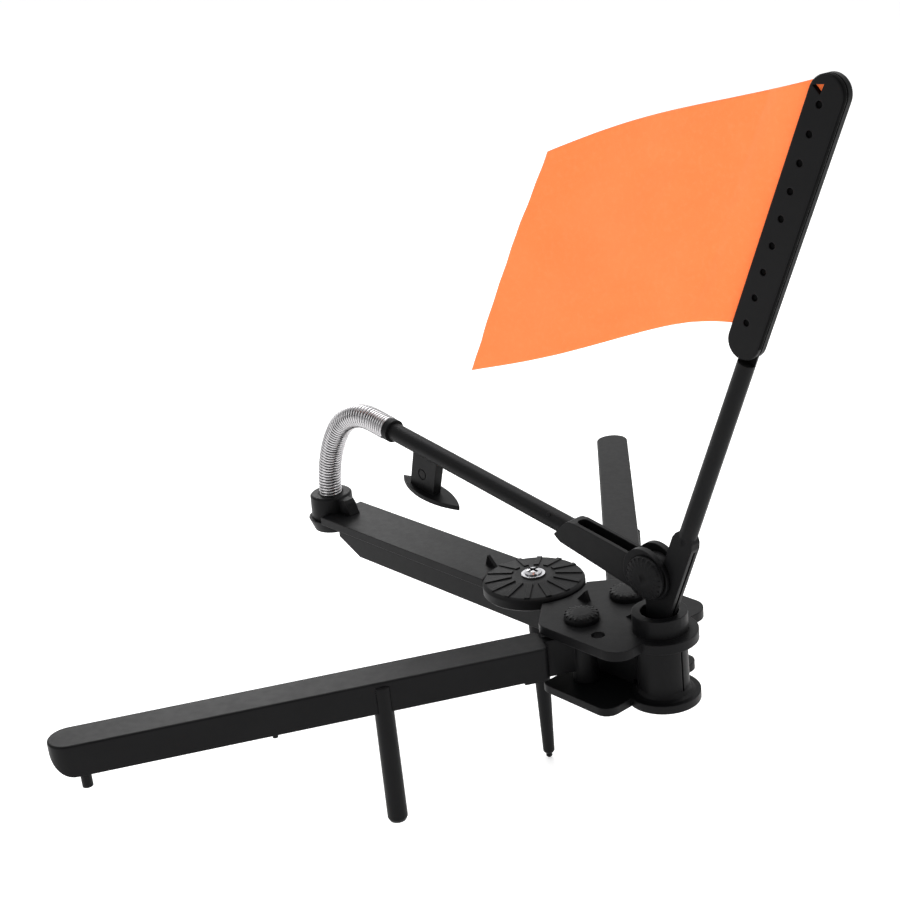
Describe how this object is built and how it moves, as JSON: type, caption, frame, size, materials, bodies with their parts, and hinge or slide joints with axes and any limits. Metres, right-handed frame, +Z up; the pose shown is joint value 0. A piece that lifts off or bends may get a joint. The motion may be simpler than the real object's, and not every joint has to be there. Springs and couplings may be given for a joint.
{
  "type": "ice fishing tip up",
  "caption": "Folding ice fishing tip up: a beam and two swing legs on the ice, a line rotor, and a spring arm that raises a clamped cloth flag.",
  "frame": {"origin": "on the collar's axis at the hub's underside, which is the ice plane", "axes": "+Z up along the collar and the rotor axis, the main beam along -X, left leg toward -Y, right leg toward +Y"},
  "size_m": [0.3428, 0.3982, 0.3254],
  "materials": {
    "black_plastic": "semi-matte moulded",
    "bright_steel": "plated",
    "spring_steel": "bright drawn wire",
    "orange_cloth": "fluorescent plain weave"
  },
  "bodies": {
    "base": {"main_beam": "black_plastic", "spring_socket": "black_plastic", "hub_base": "black_plastic", "hinge_pin_left": "black_plastic", "hinge_pin_right": "black_plastic", "coil_spring": "spring_steel"},
    "left_leg": {"leg_left": "black_plastic", "line_peg_left": "black_plastic"},
    "right_leg": {"leg_right": "black_plastic", "line_peg_right": "black_plastic"},
    "rotor": {"rotor_disc": "black_plastic", "rotor_shaft": "black_plastic", "rotor_screw": "bright_steel", "rotor_washer": "bright_steel"},
    "arm": {"trip_arm": "black_plastic", "fold_pin": "black_plastic", "fold_pin_cap": "black_plastic"},
    "mast": {"mast": "black_plastic", "flag_clamp_plate": "black_plastic", "flag": "orange_cloth"}
  },
  "joints": [
    {"name": "left_leg_swing", "type": "hinge", "parent": "base", "child": "left_leg", "pos_m": [-0.0325, -0.0143, 0.0194], "axis": [0, 0, 1], "range_deg": [-60, 40]},
    {"name": "right_leg_swing", "type": "hinge", "parent": "base", "child": "right_leg", "pos_m": [-0.0325, 0.0143, 0.0194], "axis": [0, 0, 1], "range_deg": [-57, 42]},
    {"name": "rotor_spin", "type": "hinge", "parent": "base", "child": "rotor", "pos_m": [-0.0773, 0, 0.0315], "axis": [0, 0, 1], "continuous": true},
    {"name": "arm_raise", "type": "hinge", "parent": "base", "child": "arm", "pos_m": [-0.2205, 0, 0.0844], "axis": [0, -1, 0], "range_deg": [0, 100], "deforming": ["coil_spring"]},
    {"name": "mast_unfold", "type": "hinge", "parent": "arm", "child": "mast", "pos_m": [-0.00089, 0, 0.05825], "axis": [0, 1, 0], "range_deg": [0, 77.1]}
  ],
  "couplings": [
    {"joint": "mast_unfold", "follows": "arm_raise", "ratio": 0.771}
  ]
}
